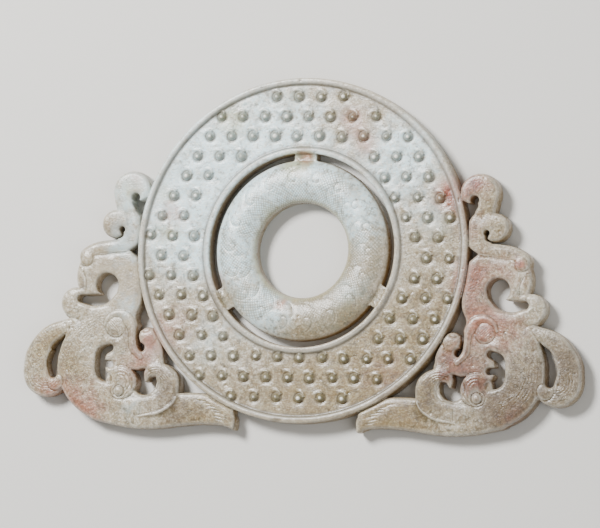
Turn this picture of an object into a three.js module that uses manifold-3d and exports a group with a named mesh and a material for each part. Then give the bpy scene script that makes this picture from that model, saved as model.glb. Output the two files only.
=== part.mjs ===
// A jade bi disc: a flat stone disc with a domed inner ring and an openwork bird at each side.
// It is carved from one stone, so it is one solid. It lies on its back, the carved face up (+Z).
// Units are millimetres. Plan positions are measured from the disc's own centre, +Y to its top.

import * as THREE from 'three';
import { mergeVertices } from 'three/addons/utils/BufferGeometryUtils.js';
import Module from 'manifold-3d';

const wasm = await Module();
wasm.setup();

// ---------------------------------------------------------------- driving dimensions

const DISC = { radius: 43.5, hole: 24.5, thickness: 5.6, chamfer: 0.4, sides: 64 };
const RIM = { width: 1.35, slope: 0.45, height: 0.7, innerDrop: 0.15 };

const RING = { radius: 22.8, hole: 12, crown: 6.3, back: 0.25, sides: 42, arcSteps: 5 };
const RING_EDGE = { front: 3.7, back: 1.6 };

const TAB = { width: 5.7, front: 4.5, back: 0.9, reach: 0.9, angles: [90, 212, 331] };

const BOSS = { pitch: 5.85, radius: 1.28, height: 0.8, sides: 5, root: 0.2 };
const BOSS_GRID = { x: 0.7, y: 3.35, outerLimit: 41.18, innerLimit: 27.35, innerShift: 0.35 };

const WING = { back: 0.5, bevel: 0.55, overlap: 0.4, pointSpacing: 2 };
const LEVEL = { boss: 5.6, high: 5.15, middle: 4.85, low: 4.5 };

// ---------------------------------------------------------------- solids from three.js geometry

function toSolid(geometry) {
  geometry.deleteAttribute('normal');
  geometry.deleteAttribute('uv');
  const merged = mergeVertices(geometry, 1e-4);
  const mesh = new wasm.Mesh({
    numProp: 3,
    vertProperties: new Float32Array(merged.attributes.position.array),
    triVerts: new Uint32Array(merged.index.array),
  });
  return new wasm.Manifold(mesh);
}

function toGeometry(manifold) {
  const mesh = manifold.getMesh();
  const geometry = new THREE.BufferGeometry();
  geometry.setAttribute('position', new THREE.BufferAttribute(new Float32Array(mesh.vertProperties), 3));
  geometry.setIndex(new THREE.BufferAttribute(new Uint32Array(mesh.triVerts), 1));
  geometry.computeVertexNormals();
  return geometry;
}

function join(solids) {
  return solids.reduce((whole, piece) => whole.add(piece));
}

// A solid of revolution about +Z. The profile is [radius, height] pairs, from the front round to the back.
function turned(profile, sides) {
  const points = profile.map(([radius, height]) => new THREE.Vector2(radius, height));
  const geometry = new THREE.LatheGeometry([...points, points[0]], sides);
  geometry.rotateX(Math.PI / 2);
  return toSolid(geometry);
}

// ---------------------------------------------------------------- disc, ring, tabs and bosses

function annulus() {
  const { radius, hole, thickness, chamfer, sides } = DISC;
  const field = thickness - RIM.height;
  const innerRim = thickness - RIM.innerDrop;
  return turned([
    [radius, chamfer],
    [radius, thickness - chamfer],
    [radius - chamfer, thickness],
    [radius - RIM.width, thickness],
    [radius - RIM.width - RIM.slope, field],
    [hole + RIM.width + RIM.slope, field],
    [hole + RIM.width, innerRim],
    [hole + chamfer, innerRim],
    [hole, innerRim - chamfer],
    [hole, chamfer],
    [hole + chamfer, 0],
    [radius - chamfer, 0],
  ], sides);
}

function domedRing() {
  const centre = (RING.radius + RING.hole) / 2;
  const halfWidth = (RING.radius - RING.hole) / 2;
  const arc = (edge, crown, from, to) => Array.from({ length: RING.arcSteps + 1 }, (_, i) => {
    const angle = from + (to - from) * i / RING.arcSteps;
    return [centre + halfWidth * Math.cos(angle), edge + (crown - edge) * Math.abs(Math.sin(angle))];
  });
  const front = arc(RING_EDGE.front, RING.crown, 0, Math.PI);
  const back = arc(RING_EDGE.back, RING.back, Math.PI, 2 * Math.PI);
  return turned([...front, ...back], RING.sides);
}

function tab(degrees) {
  const inner = RING.radius - TAB.reach;
  const outer = DISC.hole + TAB.reach;
  const geometry = new THREE.BoxGeometry(outer - inner, TAB.width, TAB.front - TAB.back);
  geometry.translate((inner + outer) / 2, 0, (TAB.front + TAB.back) / 2);
  geometry.rotateZ(THREE.MathUtils.degToRad(degrees));
  return toSolid(geometry);
}

function boss(x, y) {
  const field = DISC.thickness - RIM.height;
  const profile = [
    new THREE.Vector2(0, -BOSS.root),
    new THREE.Vector2(BOSS.radius, -BOSS.root),
    new THREE.Vector2(BOSS.radius * 0.62, BOSS.height * 0.8),
    new THREE.Vector2(0, BOSS.height),
  ];
  const geometry = new THREE.LatheGeometry(profile, BOSS.sides);
  geometry.rotateX(Math.PI / 2);
  geometry.translate(x, y, field);
  return toSolid(geometry);
}

// The bosses stand at the corners of equal triangles, in level rows, wherever they fit between the rims.
function bosses() {
  const rowPitch = BOSS.pitch * Math.sqrt(3) / 2;
  const rows = Math.ceil(DISC.radius / rowPitch);
  const columns = Math.ceil(DISC.radius / BOSS.pitch);
  const found = [];
  for (let row = -rows; row <= rows; row += 1) {
    const shift = row % 2 === 0 ? 0 : BOSS.pitch / 2;
    for (let column = -columns; column <= columns; column += 1) {
      const x = BOSS_GRID.x + shift + column * BOSS.pitch;
      const y = BOSS_GRID.y + row * rowPitch;
      const insideOuterRim = Math.hypot(x, y) < BOSS_GRID.outerLimit;
      const outsideInnerRim = Math.hypot(x, y - BOSS_GRID.innerShift) > BOSS_GRID.innerLimit;
      if (insideOuterRim && outsideInnerRim) found.push(boss(x, y));
    }
  }
  return found;
}

// ---------------------------------------------------------------- outlines for the birds

function roundOutline([x, y, radius]) {
  const count = Math.round(4 + 3.9 * Math.sqrt(radius));
  return Array.from({ length: count }, (_, i) => {
    const angle = 2 * Math.PI * i / count;
    return new THREE.Vector2(x + radius * Math.cos(angle), y + radius * Math.sin(angle));
  });
}

// A band along a smooth line through [x, y, width] stations. A wide end is round and a thin one is a point.
function bandOutline(stations) {
  const line = new THREE.CatmullRomCurve3(stations.map(([x, y]) => new THREE.Vector3(x, y, 0)));
  const spans = stations.length - 1;
  const widthAt = (t) => {
    const span = Math.min(Math.floor(t * spans), spans - 1);
    return THREE.MathUtils.lerp(stations[span][2], stations[span + 1][2], t * spans - span);
  };
  const count = Math.max(spans, Math.round(line.getLength() / WING.pointSpacing));
  const left = [];
  const right = [];
  for (let i = 0; i <= count; i += 1) {
    const t = i / count;
    const point = line.getPoint(t);
    const along = line.getTangent(t);
    const half = widthAt(t) / 2;
    left.push(new THREE.Vector2(point.x - along.y * half, point.y + along.x * half));
    right.push(new THREE.Vector2(point.x + along.y * half, point.y - along.x * half));
  }
  return [...left, ...cap(left[count], right[count]), ...right.reverse(), ...cap(right[count], left[0])];
}

// The points of a half circle that turns from one side of a band's end to the other.
function cap(from, to) {
  const centre = from.clone().add(to).divideScalar(2);
  const steps = Math.round(Math.PI * from.distanceTo(to) / 2 / WING.pointSpacing) + 1;
  const points = [];
  for (let i = 1; i < steps; i += 1) {
    points.push(from.clone().rotateAround(centre, -Math.PI * i / steps));
  }
  return points;
}

// ---------------------------------------------------------------- birds

// A form is round, [x, y, radius], or a band, a list of [x, y, width] stations. Both birds share
// them: a side of 1 is the right bird and -1 its mirror image.

const { boss: BOSS_TOP, high, middle, low } = LEVEL;

const BLANK = {
  crestCurl: { top: high, form: [45.95, 14.6, 5.05] },
  crestStem: { top: high, form: [[48, 12.5, 5.2], [46.4, 7.5, 6], [46.3, 2.5, 6.2]] },
  napeCurl: { top: high, form: [50.2, 6.2, 3.55] },
  brow: {
    top: high,
    form: [[46.3, 0.7, 3], [50.5, 0.55, 3.1], [55.2, -0.1, 3], [57.9, -1.9, 3.4], [58.2, -3.2, 2.6]],
  },
  head: { top: middle, form: [51.95, -7.1, 8.25] },
  neck: { top: middle, form: [[46.5, -2.5, 5.5], [46, -8, 7], [46.3, -13, 8.2], [48, -16.5, 7.5]] },
  jawLobe: { top: high, form: [60.2, -14.05, 3.9] },
  throat: { top: middle, form: [[61.3, -16.3, 3.4], [56.5, -17.2, 5], [50, -17.5, 6.5]] },
  body: { top: middle, form: [50, -29.5, 14.45] },
  breastFeather: {
    top: low,
    form: [[60.5, -19.8, 4], [66.9, -22.4, 4.8], [70.2, -27.5, 6], [70.4, -31.5, 6.6]],
  },
  featherCurl: { top: low, form: [67.5, -32, 6.1] },
  featherTip: { top: high, form: [64.7, -34.4, 2.1] },
  tail: {
    top: middle,
    form: [
      [52.5, -39.8, 8.4], [45, -41.5, 7.9], [38, -42, 7.3],
      [30, -40.6, 8.3], [23, -40.5, 7.6], [19.5, -41.3, 6.2],
    ],
  },
  tailTip: { top: middle, form: [[19.4, -41.9, 4.8], [17.8, -43, 3.7], [16.5, -45.1, 0.8]] },
};

// Drilled and sawn openings with a sharp edge, and wider ones whose front edge is softened.
const SHARP_OPENINGS = {
  crestDrill: [44.85, 12.95, 1.15],
  crestDrop: [[44.7, 11.6, 2.2], [43.6, 10.3, 3], [43.2, 8.8, 1.6], [43.1, 7.5, 0.2]],
  crestHook: [[43.4, 11.2, 1.8], [41.7, 12.2, 1.2]],
  napeDrill: [48.2, 4.75, 0.8],
  napeSlit: [[48.3, 4.4, 1], [48.2, 3.3, 0.7], [49.5, 2.55, 0.35], [51.8, 2.45, 0.5], [53.5, 3.2, 0.8]],
  browCorner: [[42.5, -0.6, 4.4], [44.5, -0.6, 2], [46.1, -0.5, 0.1]],
  clawSlot: [[42.3, -19, 1.4], [42.95, -22.3, 0.85], [42.6, -24.6, 1.4]],
  clawDrill: [42, -25.15, 1.15],
  clawNotch: [[35.6, -25.2, 0.3], [34.6, -27.5, 2.6], [33, -28.3, 1.8]],
  flankBarb: [[50.1, -29.6, 1.8], [52, -29.4, 1.8]],
  scrollCorner: [[42, -32.2, 2.4], [44.4, -30.9, 0.2]],
};

const SOFT_OPENINGS = {
  beakDrill: [51.7, -9.4, 2.95],
  beakSlot: [[50.8, -10.6, 3.6], [52.4, -12.7, 2.9], [55.2, -13.35, 2.8], [58.6, -13.05, 2]],
  featherGap: [[62.8, -22.4, 0.2], [64.9, -25.6, 1.9], [65.9, -29.4, 2.9], [65.6, -32.2, 2.2]],
  neckGap: [[41.9, -13.3, 0.3], [41.3, -15.6, 2.6], [41.2, -17.6, 4.8], [40.9, -19.2, 4]],
  flankOpening: [
    [50.3, -25.4, 1.8], [52.4, -26.6, 2.6], [52.8, -29.3, 2.6], [52.3, -32.1, 2.8], [50.2, -33.3, 1.8],
  ],
  scrollDrill: [40.7, -33.9, 3.3],
};

const RAISED = {
  claw: { top: high, form: [40.15, -22.35, 2.3] },
  shoulder: {
    top: high,
    form: [[45.8, -17.9, 1.6], [44.5, -20, 2], [44.2, -22.5, 1.8], [43.8, -25.3, 2], [41.8, -27.6, 1.4]],
  },
  haunch: { top: high, form: [46.9, -34.2, 4.2] },
  haunchBoss: { top: BOSS_TOP, form: [47.3, -36.4, 1.3] },
  scroll: {
    top: high,
    form: [
      [40.2, -33.5, 0.8], [39.6, -31.6, 2.4], [36.6, -30.9, 3.6], [34.1, -33.2, 5.4],
      [34.3, -36.6, 6], [37, -39.3, 5.6], [41, -40.2, 4.6], [45, -39.6, 3],
    ],
  },
};

function outline(form, side) {
  const points = Array.isArray(form[0]) ? bandOutline(form) : roundOutline(form);
  return new THREE.Shape(points.map((point) => new THREE.Vector2(side * point.x, point.y)));
}

// An upright body of a form's outline. Its lower edge grows and its upper edge narrows by the bevel.
function bevelled(form, side, bottom, top, bevel, offset) {
  const geometry = new THREE.ExtrudeGeometry(outline(form, side), {
    depth: top - bottom - 2 * bevel,
    bevelThickness: bevel,
    bevelSize: bevel,
    bevelOffset: offset,
    bevelSegments: 1,
  });
  geometry.translate(0, 0, bottom + bevel);
  return toSolid(geometry);
}

// A thin tip takes a smaller bevel than the rest.
function mass({ form, top }, side) {
  const widths = Array.isArray(form[0]) ? form.map((station) => station[2]) : [form[2]];
  const bevel = Math.min(WING.bevel, 0.4 * Math.min(...widths));
  return bevelled(form, side, -2 * WING.bevel, top, bevel, -bevel);
}

function opening(form, side) {
  const settings = { depth: DISC.thickness * 3, bevelEnabled: false };
  const geometry = new THREE.ExtrudeGeometry(outline(form, side), settings);
  geometry.translate(0, 0, -DISC.thickness);
  return toSolid(geometry);
}

function flare(form, side) {
  return bevelled(form, side, LEVEL.high - WING.bevel, LEVEL.high + DISC.thickness, WING.bevel, 0);
}

function bird(side) {
  const blank = join(Object.values(BLANK).map((entry) => mass(entry, side)));
  const raised = join(Object.values(RAISED).map((entry) => mass(entry, side)));
  const soft = Object.values(SOFT_OPENINGS);
  const through = [...Object.values(SHARP_OPENINGS), ...soft].map((form) => opening(form, side));
  const openings = join([...through, ...soft.map((form) => flare(form, side))]);
  const size = 4 * DISC.radius;
  const below = new THREE.BoxGeometry(size, size, size);
  below.translate(0, 0, WING.back - size / 2);
  const behindDisc = DISC.radius - WING.overlap;
  const core = new THREE.CylinderGeometry(behindDisc, behindDisc, size, DISC.sides);
  core.rotateX(Math.PI / 2);
  return blank.subtract(openings).add(raised).subtract(toSolid(below)).subtract(toSolid(core));
}

// ---------------------------------------------------------------- the whole stone

function biDisc() {
  const stone = join([annulus(), domedRing(), ...TAB.angles.map(tab), ...bosses(), bird(1), bird(-1)]);
  const jade = new THREE.MeshStandardMaterial({ color: 0xc9c4ae, roughness: 0.35, metalness: 0 });
  const mesh = new THREE.Mesh(toGeometry(stone), jade);
  mesh.name = 'jade_bi_disc';
  return mesh;
}

const disc = biDisc();
const extent = new THREE.Box3().setFromObject(disc);

// The origin is under the middle of the whole outline, on the surface that the stone lies on.
const group = new THREE.Group();
group.add(disc);
group.position.y = -(extent.min.y + extent.max.y) / 2;

export default group;
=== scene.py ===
"""A carved nephrite bi disc with a domed inner ring and an openwork bird at each side, lying on a pale floor.

Plan sizes are in millimetres from the disc's own centre, +Y to its top, and heights are above its back.
"""
import math

import bmesh
import bpy
import numpy as np
from mathutils import Matrix, Vector


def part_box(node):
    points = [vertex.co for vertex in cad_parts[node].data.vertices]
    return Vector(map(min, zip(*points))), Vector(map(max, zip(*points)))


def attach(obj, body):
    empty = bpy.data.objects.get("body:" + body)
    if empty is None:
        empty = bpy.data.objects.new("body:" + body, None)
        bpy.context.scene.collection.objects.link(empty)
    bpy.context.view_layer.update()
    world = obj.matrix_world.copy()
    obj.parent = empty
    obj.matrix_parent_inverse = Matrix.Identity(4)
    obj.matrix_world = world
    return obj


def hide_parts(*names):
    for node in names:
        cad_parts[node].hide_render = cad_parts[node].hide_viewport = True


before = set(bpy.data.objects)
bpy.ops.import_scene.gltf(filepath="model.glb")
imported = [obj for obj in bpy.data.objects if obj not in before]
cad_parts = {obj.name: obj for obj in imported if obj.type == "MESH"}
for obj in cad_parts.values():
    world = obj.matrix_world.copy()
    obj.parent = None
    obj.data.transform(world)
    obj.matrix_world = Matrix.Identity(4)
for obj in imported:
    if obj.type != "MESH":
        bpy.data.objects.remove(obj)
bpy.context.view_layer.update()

# ---------------------------------------------------------------- sizes

MM = 0.001
STONE = "jade_bi_disc"
DISC = {"radius": 43.5, "hole": 24.5, "top": 5.6, "field": 4.9}
# The disc's rims. The outer one is worn low towards `worn_at`, in degrees from +X.
RIM = {
    "width": 1.05, "slope": 0.75, "inner_drop": 0.15, "edge": 0.5, "edge_drop": 0.38,
    "groove_at": 0.15, "groove_width": 0.6, "groove_depth": 0.03, "worn": 0.35, "worn_at": 38,
}
RING = {"radius": 22.8, "hole": 12, "crown": 6.3, "back": 0.25, "front_edge": 3.7, "back_edge": 1.6}
# The tabs that hold the ring. They reach into it and the disc, and their front is worn a little.
TAB = {
    "width": 5.7, "front": 4.5, "worn": 0.1, "back": 0.9, "reach": 0.9, "margin": 0.3,
    "angles": (90, 212, 331),
}
# A grain boss: its dome, the furrow round it, the wide dimple it stands in, and the tail that curls off it.
# The bosses differ by chance: they shift, vary in size, and start their tails at other angles, in degrees.
BOSS = {
    "pitch": 5.85, "radius": 1.26, "height": 0.95, "furrow": 1.3, "furrow_width": 0.7, "sink": 0.26,
    "dimple": 2.3, "dimple_depth": 0.06, "tail_starts": (10, 80), "tail_turn": 1.7, "tail_spread": 0.5,
    "tail_height": 0.4, "tail_width": 0.8, "shift": 0.15, "sizes": (0.88, 1.08), "reach": 3.2,
}
# Where one boss stands, and the circles between which their middles lie.
BOSS_GRID = {"x": 0.7, "y": 3.35, "outer_limit": 41.18, "inner_limit": 27.35, "inner_shift": 0.35}
# Chips in the disc's edge, as (degrees from +X, half width, depth). Each reaches in by a share of its width.
CHIPS = (
    (-96, 1.2, 0.35), (-71, 0.9, 0.3), (-58, 1.4, 0.25), (-121, 0.8, 0.3),
    (28, 0.9, 0.25), (151, 0.7, 0.2), (77, 0.8, 0.2),
)
CHIP_REACH = 0.7
# Pits all over the front, with the range of each one's size and depth.
PITS = {
    "count": 300, "across": (-73, 73), "up": (-45, 43), "sizes": (0.22, 0.5), "depths": (0.04, 0.14),
    "reach": 1.5,
}
# The birds' lowest front, their rounded edges, and the furrow where they meet the disc.
WING = {
    "front": 4.5, "back": 0.5, "edge": 0.8, "edge_drop": 0.55, "soft_edge": 1.2, "soft_drop": 0.4,
    "join_at": 0.1, "join_width": 0.9, "join_depth": 0.3,
}
# The plain back: how its edges ease, the line by the disc's rims, and how deep the birds' lines are cut.
BACK = {
    "edge_rise": 0.4, "disc_edge": 0.5, "wing_edge": 0.7,
    "line_at": 1.7, "line_width": 0.6, "line_depth": 0.15, "cut_depth": 0.12,
}
# Where the birds are looked for: below this height, and from this far inside the disc's edge.
BIRD_ZONE = {"top": 22, "overlap": 2}
# The furrow along the foot of a raised form, the waviness of the polish, and the ridge along the walls.
FOOT = {"off": 0.1, "width": 0.5}
WAVINESS = 0.035
WALL_RIDGE = 0.1

# The squares of the sheet that the stone is made from.
SPACING = 0.16
WALL_CUTS = 4
FIT_ROUNDS = 6
TRIANGLES = 194000
# No band's distance is worked out further away from it than this.
FAR = 6.0
# The disc's own relief runs this far past its radius, and the birds' begins there.
JOIN = 0.02

stone_low, stone_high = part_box(STONE)
CENTRE_Y = stone_high.y - DISC["radius"] * MM

# A form is round, (x, y, radius), or a band, a list of (x, y, width) stations. Both birds share them.
CREST = {
    "crest_curl": (45.95, 14.6, 5.05),
    "crest_stem": [(48, 12.5, 5.2), (46.4, 7.5, 6), (46.3, 2.5, 6.2)],
    "nape_curl": (50.2, 6.2, 3.55),
    "brow": [(46.3, 0.7, 3), (50.5, 0.55, 3.1), (55.2, -0.1, 3), (57.9, -1.9, 3.4), (58.2, -3.2, 2.6)],
}
TRUNK = {
    "head": (51.95, -7.1, 8.25),
    "neck": [(46.5, -2.5, 5.5), (46, -8, 7), (46.3, -13, 8.2), (48, -16.5, 7.5)],
    "throat": [(61.3, -16.3, 3.4), (56.5, -17.2, 5), (50, -17.5, 6.5)],
    "body": (50, -29.5, 14.45),
    "tail": [
        (52.5, -39.8, 8.4), (45, -41.5, 7.9), (38, -42, 7.3),
        (30, -40.6, 8.3), (23, -40.5, 7.6), (19.5, -41.3, 6.2),
    ],
    "tail_tip": [(19.4, -41.9, 4.8), (17.8, -43, 3.7), (16.5, -45.1, 0.8)],
}
JAW_LOBE = {"jaw_lobe": (60.2, -14.05, 3.9)}
FEATHER = {
    "breast_feather": [(60.5, -19.8, 4), (66.9, -22.4, 4.8), (70.2, -27.5, 6), (70.4, -31.5, 6.6)],
    "feather_curl": (67.5, -32, 6.1),
}
FEATHER_TIP = {"feather_tip": (64.7, -34.4, 2.1)}
CLAW = {"claw": (40.15, -22.35, 2.3)}
SHOULDER = {
    "shoulder": [
        (45.8, -17.9, 1.6), (44.5, -20, 2), (44.2, -22.5, 1.8), (43.8, -25.3, 2), (41.8, -27.6, 1.4),
    ],
}
HAUNCH = {"haunch": (46.9, -34.2, 4.2)}
HAUNCH_BOSS = {"haunch_boss": (47.3, -36.4, 1.3)}
SCROLL = {
    "scroll": [
        (40.2, -33.5, 0.8), (39.6, -31.6, 2.4), (36.6, -30.9, 3.6), (34.1, -33.2, 5.4),
        (34.3, -36.6, 6), (37, -39.3, 5.6), (41, -40.2, 4.6), (45, -39.6, 3),
    ],
}
SHARP_OPENINGS = {
    "crest_drill": (44.85, 12.95, 1.15),
    "crest_drop": [(44.7, 11.6, 2.2), (43.6, 10.3, 3), (43.2, 8.8, 1.6), (43.1, 7.5, 0.2)],
    "crest_hook": [(43.4, 11.2, 1.8), (41.7, 12.2, 1.2)],
    "nape_drill": (48.2, 4.75, 0.8),
    "nape_slit": [(48.3, 4.4, 1), (48.2, 3.3, 0.7), (49.5, 2.55, 0.35), (51.8, 2.45, 0.5), (53.5, 3.2, 0.8)],
    "brow_corner": [(42.5, -0.6, 4.4), (44.5, -0.6, 2), (46.1, -0.5, 0.1)],
    "claw_slot": [(42.3, -19, 1.4), (42.95, -22.3, 0.85), (42.6, -24.6, 1.4)],
    "claw_drill": (42, -25.15, 1.15),
    "claw_notch": [(35.6, -25.2, 0.3), (34.6, -27.5, 2.6), (33, -28.3, 1.8)],
    "flank_barb": [(50.1, -29.6, 1.8), (52, -29.4, 1.8)],
    "scroll_corner": [(42, -32.2, 2.4), (44.4, -30.9, 0.2)],
}
SOFT_OPENINGS = {
    "beak_drill": (51.7, -9.4, 2.95),
    "beak_slot": [(50.8, -10.6, 3.6), (52.4, -12.7, 2.9), (55.2, -13.35, 2.8), (58.6, -13.05, 2)],
    "feather_gap": [(62.8, -22.4, 0.2), (64.9, -25.6, 1.9), (65.9, -29.4, 2.9), (65.6, -32.2, 2.2)],
    "neck_gap": [(41.9, -13.3, 0.3), (41.3, -15.6, 2.6), (41.2, -17.6, 4.8), (40.9, -19.2, 4)],
    "flank_opening": [
        (50.3, -25.4, 1.8), (52.4, -26.6, 2.6), (52.8, -29.3, 2.6), (52.3, -32.1, 2.8), (50.2, -33.3, 1.8),
    ],
    "scroll_drill": (40.7, -33.9, 3.3),
}

# Low forms that do not reach the outline.
SHOULDER_KNOB = {"shoulder_knob": (48.8, -20.1, 2.6)}
SHOULDER_ROLL = {
    **SHOULDER,
    "roll": [(51.8, -19.6, 0.8), (51, -17.8, 1.4), (48.8, -16.6, 1.7), (46.6, -17, 1.8), (45.3, -18.6, 1.8)],
}
EYE = {"eye": (57.3, -2.8, 1.5)}
CURLS = {"crest_curl": CREST["crest_curl"], "nape_curl": CREST["nape_curl"]}

# How the birds' forms lie on one another, lowest first: (forms, top, rounded edge, furrow at the foot).
LAYERS = (
    (FEATHER, 4.85, 2.2, 0.05),
    (TRUNK, 5.0, 2.6, 0.07),
    (FEATHER_TIP, 5.0, 1.3, 0.12),
    (JAW_LOBE, 5.15, 2.6, 0.0),
    (CREST, 5.15, 1.6, 0.05),
    (CURLS, 5.35, 3.0, 0.0),
    (EYE, 5.3, 1.5, 0.0),
    (CLAW, 5.25, 2.2, 0.0),
    (SHOULDER_KNOB, 5.2, 2.4, 0.0),
    (SHOULDER_ROLL, 5.3, 1.1, 0.02),
    (SCROLL, 5.2, 1.9, 0.0),
    (HAUNCH_BOSS, 5.65, 1.2, 0.0),
)
# The haunch stands proud on its left and runs into the body on its right.
HAUNCH_STEP = {"left": 5.28, "right": 5.0, "fades_from": 46.5, "fades_to": 50, "rounding": 1.3, "foot": 0.1}
# Round the haunch's boss this much is left as it is, so that the boss keeps its own edge.
HAUNCH_BOSS_MARGIN = 0.4

# Lines cut into the birds with a wheel, and more faintly into their back, as (x, y, width) stations.
CUT_LINES = {
    "brow_line": [(46, -0.75, 0.5), (47.3, -1, 0.6), (51, -1.5, 0.6), (54.9, -2, 0.4)],
    "under_eye": [(59.6, -3.6, 0.3), (58.5, -4.6, 0.6), (56.9, -4.7, 0.5), (55.8, -3.9, 0.3)],
    "beak_root": [(60.4, -4.8, 0.7), (59, -5.2, 0.3)],
    "beak_line": [(58.3, -6, 0.3), (57.5, -7.6, 0.5), (57.2, -9.6, 0.5), (57.5, -11.4, 0.3)],
    "knob_arc": [
        (46.6, -21.6, 0.3), (47.8, -22.7, 0.5), (49.5, -22.7, 0.5), (51, -21.7, 0.4), (51.5, -20.6, 0.3),
    ],
    "haunch_curl": [
        (44.9, -35.6, 0.2), (45.3, -37.3, 0.3), (46.8, -38.4, 0.35), (48.5, -38, 0.35),
        (49.4, -36.7, 0.3), (49, -35.2, 0.25), (47.8, -34.5, 0.2),
    ],
    "scroll_curl": [
        (38.4, -33.2, 0.3), (37, -34.2, 0.5), (37, -36, 0.5), (38.6, -37.2, 0.5), (40.6, -37.3, 0.3),
    ],
    "band_line": [(41.2, -39.3, 0.3), (41.4, -42.1, 0.35)],
}
CUT_DEPTH = 0.16
# A low ridge along the foot of the scroll.
SCROLL_EDGE = [
    (31.8, -37.7, 0.6), (32.9, -39.6, 0.8), (34.8, -40.9, 0.8),
    (37, -41.9, 0.8), (39.1, -42.3, 0.8), (42, -42.7, 0.4),
]
SCROLL_EDGE_RISE = 0.16
# Hair strokes across the tail, by their middles.
TAIL_STROKES = (
    (24.9, -38.4), (23.2, -39.1), (22.1, -39.8), (21.3, -40.6), (20.3, -41.4), (20.4, -42.3), (20.0, -43.1),
)
TAIL_STROKE = {"length": 2.5, "rise": 0.25, "width": 0.5, "end_width": 0.2, "depth": 0.14}

# One scroll of the ring's border, in a sector that points along +X from the ring's middle.
RING_SECTORS = 18
RING_LINES = {
    "outer_scroll": [
        (20.8, -2, 0.3), (20.2, -0.4, 0.5), (18.8, 0.6, 0.5),
        (17.4, 0.2, 0.5), (17.3, -1, 0.5), (18.3, -1.3, 0.3),
    ],
    "inner_scroll": [
        (13.4, -1.3, 0.3), (13.8, 0.2, 0.5), (14.9, 1.3, 0.5), (16.4, 1.7, 0.5), (17.2, 1.4, 0.3),
    ],
}
RING_LINE_DEPTH = 0.09

# ---------------------------------------------------------------- distances in plan


def smooth_line(stations, steps=8):
    """Rows (x, y, half width, length so far) along a centripetal spline through the stations."""
    given = np.array(stations, float)
    points = np.vstack([2 * given[0] - given[1], given, 2 * given[-1] - given[-2]])[:, :2]
    u = np.linspace(0, 1, steps, endpoint=False)[:, None]
    rows = []
    for i in range(1, len(points) - 2):
        a, b, c, d = points[i - 1:i + 3]
        before, span, after = (math.sqrt(math.dist(p, q)) for p, q in ((a, b), (b, c), (c, d)))
        leave = ((b - a) / before - (c - a) / (before + span) + (c - b) / span) * span
        arrive = ((c - b) / span - (d - b) / (span + after) + (d - c) / after) * span
        square, cube = 3 * (c - b) - 2 * leave - arrive, 2 * (b - c) + leave + arrive
        path = b + leave * u + square * u**2 + cube * u**3
        width = given[i - 1, 2] + (given[i, 2] - given[i - 1, 2]) * u
        rows.append(np.hstack([path, width / 2]))
    rows.append([[*given[-1, :2], given[-1, 2] / 2]])
    line = np.vstack(rows)
    lengths = np.hypot(*np.diff(line[:, :2], axis=0).T)
    return np.column_stack([line, np.concatenate([[0], np.cumsum(lengths)])])


def near_line(x, y, line, margin=FAR):
    """Which points are close enough to a line for their distance to matter."""
    low, high = line[:, :2].min(0) - margin, line[:, :2].max(0) + margin
    return (x > low[0]) & (x < high[0]) & (y > low[1]) & (y < high[1])


def band_coordinates(all_x, all_y, stations):
    """Each point's distance to the band's edge, negative inside, and its places along and across the band."""
    line = smooth_line(stations)
    near = near_line(all_x, all_y, line)
    x, y = all_x[near], all_y[near]
    best = np.full(x.shape, FAR)
    along = np.zeros(x.shape)
    across = np.zeros(x.shape)
    for (x0, y0, w0, s0), (x1, y1, w1, s1) in zip(line[:-1], line[1:]):
        dx, dy = x1 - x0, y1 - y0
        length = math.hypot(dx, dy)
        t = np.clip(((x - x0) * dx + (y - y0) * dy) / length**2, 0, 1)
        ex, ey = x - x0 - t * dx, y - y0 - t * dy
        distance = np.hypot(ex, ey) - (w0 + (w1 - w0) * t)
        nearer = distance < best
        best = np.where(nearer, distance, best)
        along = np.where(nearer, s0 + (s1 - s0) * t, along)
        across = np.where(nearer, (dx * ey - dy * ex) / length, across)
    found = []
    for values, beyond in ((best, FAR), (along, 0.0), (across, 0.0)):
        everywhere = np.full(all_x.shape, beyond)
        everywhere[near] = values
        found.append(everywhere)
    return found


def form_distance(x, y, form):
    if isinstance(form, tuple):
        return np.hypot(x - form[0], y - form[1]) - form[2]
    return band_coordinates(x, y, form)[0]


def nearest(x, y, *groups):
    """Distance to the edge of the union of every form in the groups."""
    return np.minimum.reduce([form_distance(x, y, form) for group in groups for form in group.values()])


def blended(x, y, group, reach=0.7):
    """Like nearest, but the forms of one group run softly into each other."""
    return -reach * np.log(sum(np.exp(-form_distance(x, y, form) / reach) for form in group.values()))


def tab_distance(x, y, degrees):
    angle = math.radians(degrees)
    out = x * math.cos(angle) + y * math.sin(angle)
    side = np.abs(y * math.cos(angle) - x * math.sin(angle)) - TAB["width"] / 2
    inner, outer = RING["radius"] - TAB["reach"], DISC["hole"] + TAB["reach"]
    return np.maximum(side, np.maximum(inner - out, out - outer))


def nearest_tab(x, y):
    return np.minimum.reduce([tab_distance(x, y, degrees) for degrees in TAB["angles"]])


def bird_distance(x, y):
    """Distance to the edge of a bird, in the plan of the right one."""
    whole = nearest(x, y, CREST, TRUNK, JAW_LOBE, FEATHER, FEATHER_TIP)
    cut = nearest(x, y, SHARP_OPENINGS, SOFT_OPENINGS)
    raised = nearest(x, y, CLAW, SHOULDER, HAUNCH, HAUNCH_BOSS, SCROLL)
    return np.minimum(np.maximum(whole, -cut), raised)


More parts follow.
